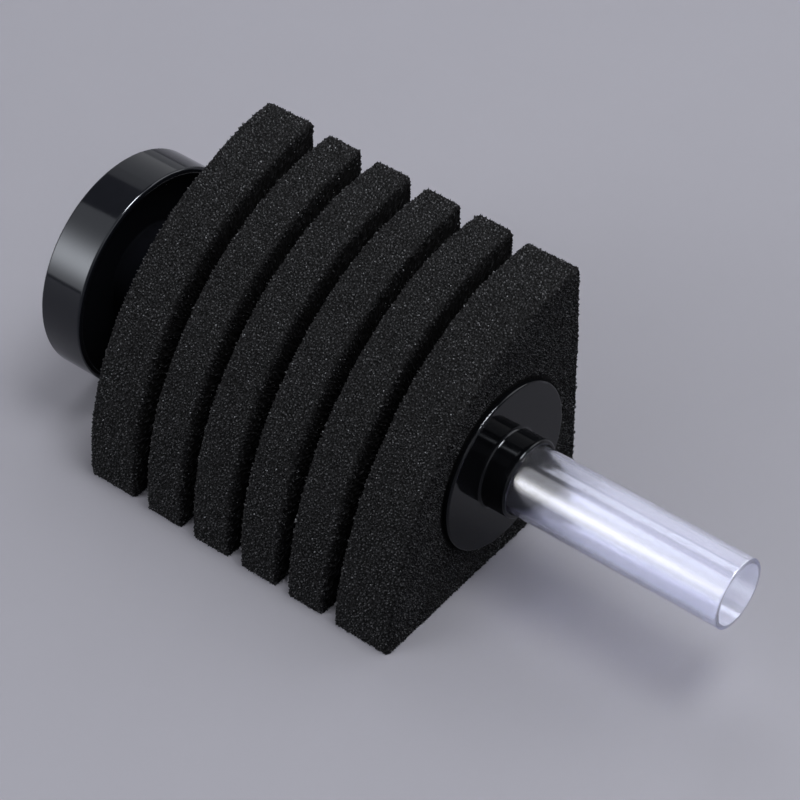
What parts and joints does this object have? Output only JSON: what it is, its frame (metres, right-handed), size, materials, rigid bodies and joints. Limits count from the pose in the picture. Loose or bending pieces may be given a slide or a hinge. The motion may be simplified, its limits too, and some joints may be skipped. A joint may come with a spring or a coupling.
{
  "type": "corner sponge filter",
  "caption": "Air-lift sponge filter for an aquarium corner: ribbed quarter-round foam on a slotted core, with a weighted cup base and a clear riser tube.",
  "frame": {"origin": "centre of the base's underside, on the axis that the base, the core, the caps and the riser tube share", "axes": "+X along the riser tube towards its open mouth, +Z up with the filter lying on one flat of its foam, +Y the way the foam's other flat faces; standing in a tank, +X is up"},
  "size_m": [0.166, 0.063, 0.063],
  "materials": {
    "filter_foam": "matte",
    "base_plastic": "gloss",
    "cap_plastic": "gloss",
    "core_plastic": "satin",
    "clear_tube": "gloss",
    "ballast": "matte"
  },
  "bodies": {
    "core": {"strainer_core": "core_plastic", "lower_cap": "cap_plastic", "air_diffuser": "core_plastic"},
    "foam": {"foam_block": "filter_foam"},
    "base": {"base_shell": "base_plastic", "base_cover": "core_plastic", "ballast_disc": "ballast"},
    "cap": {"upper_cap": "cap_plastic"},
    "riser": {"riser_tube": "clear_tube"}
  },
  "joints": [
    {"name": "foam_turn", "type": "hinge", "parent": "core", "child": "foam", "pos_m": [0.06, 0, 0], "axis": [1, 0, 0], "continuous": true},
    {"name": "base_pull", "type": "slide", "parent": "core", "child": "base", "axis": [-1, 0, 0], "range_m": [0, 0.005]},
    {"name": "cap_pull", "type": "slide", "parent": "core", "child": "cap", "axis": [1, 0, 0], "range_m": [0, 0.008]},
    {"name": "riser_pull", "type": "slide", "parent": "cap", "child": "riser", "axis": [1, 0, 0], "range_m": [0, 0.012]}
  ]
}
